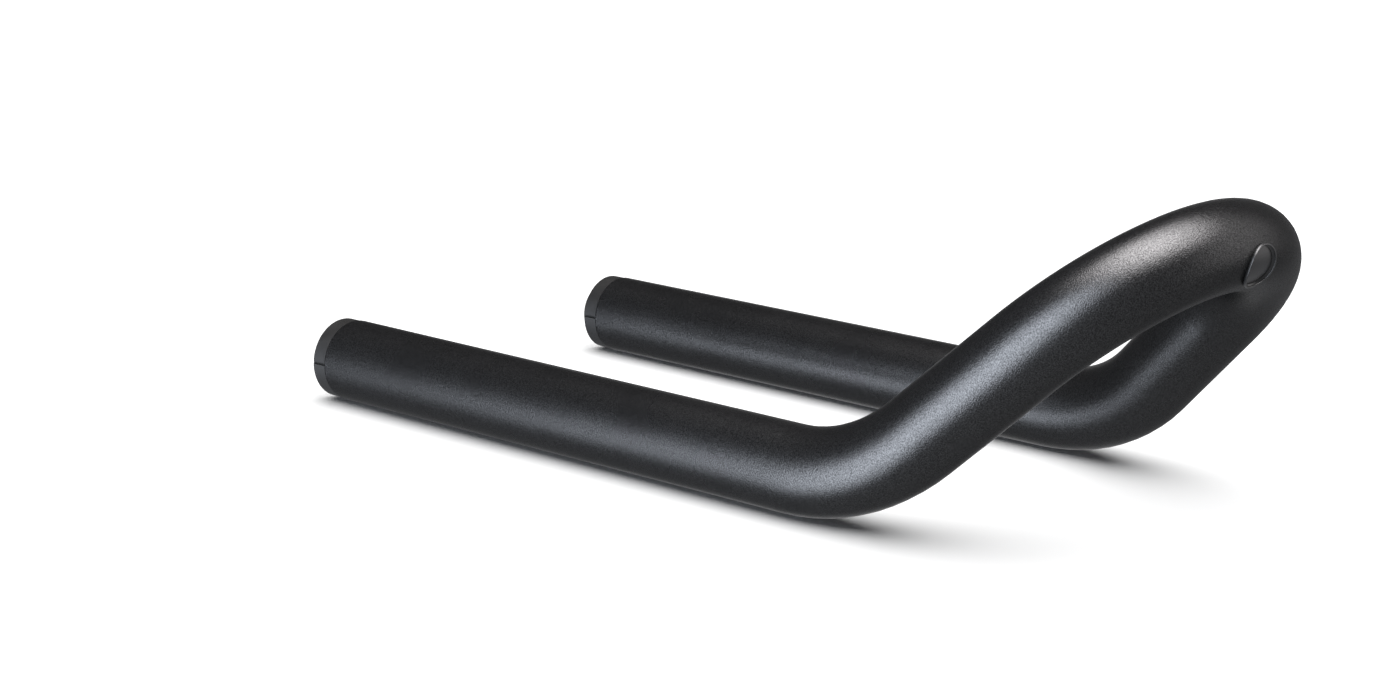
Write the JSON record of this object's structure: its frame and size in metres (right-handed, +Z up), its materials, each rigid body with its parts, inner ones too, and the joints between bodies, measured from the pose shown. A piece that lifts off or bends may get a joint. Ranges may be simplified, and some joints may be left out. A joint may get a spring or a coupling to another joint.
{
  "type": "aero handlebar extension",
  "caption": "Bent-tube bicycle handlebar extension: straight parallel legs for clamping rise into a wide front loop that the rider holds, with plugged rear ends and a plugged cable port.",
  "frame": {"origin": "under the middle of the part's box, on the surface that the two legs rest on", "axes": "+Y forwards along the legs, towards the loop; +Z up, out of the surface; +X to the rider's right"},
  "size_m": [0.1302, 0.2576, 0.0829],
  "materials": {
    "tube": "bead-blasted and anodised satin black",
    "port_plug": "smooth moulded black rubber",
    "end_plug": "fine-textured moulded black plastic"
  },
  "bodies": {
    "root": {"extension_tube": "tube", "port_plug": "port_plug", "end_plug_right": "end_plug", "end_plug_left": "end_plug"}
  },
  "joints": []
}
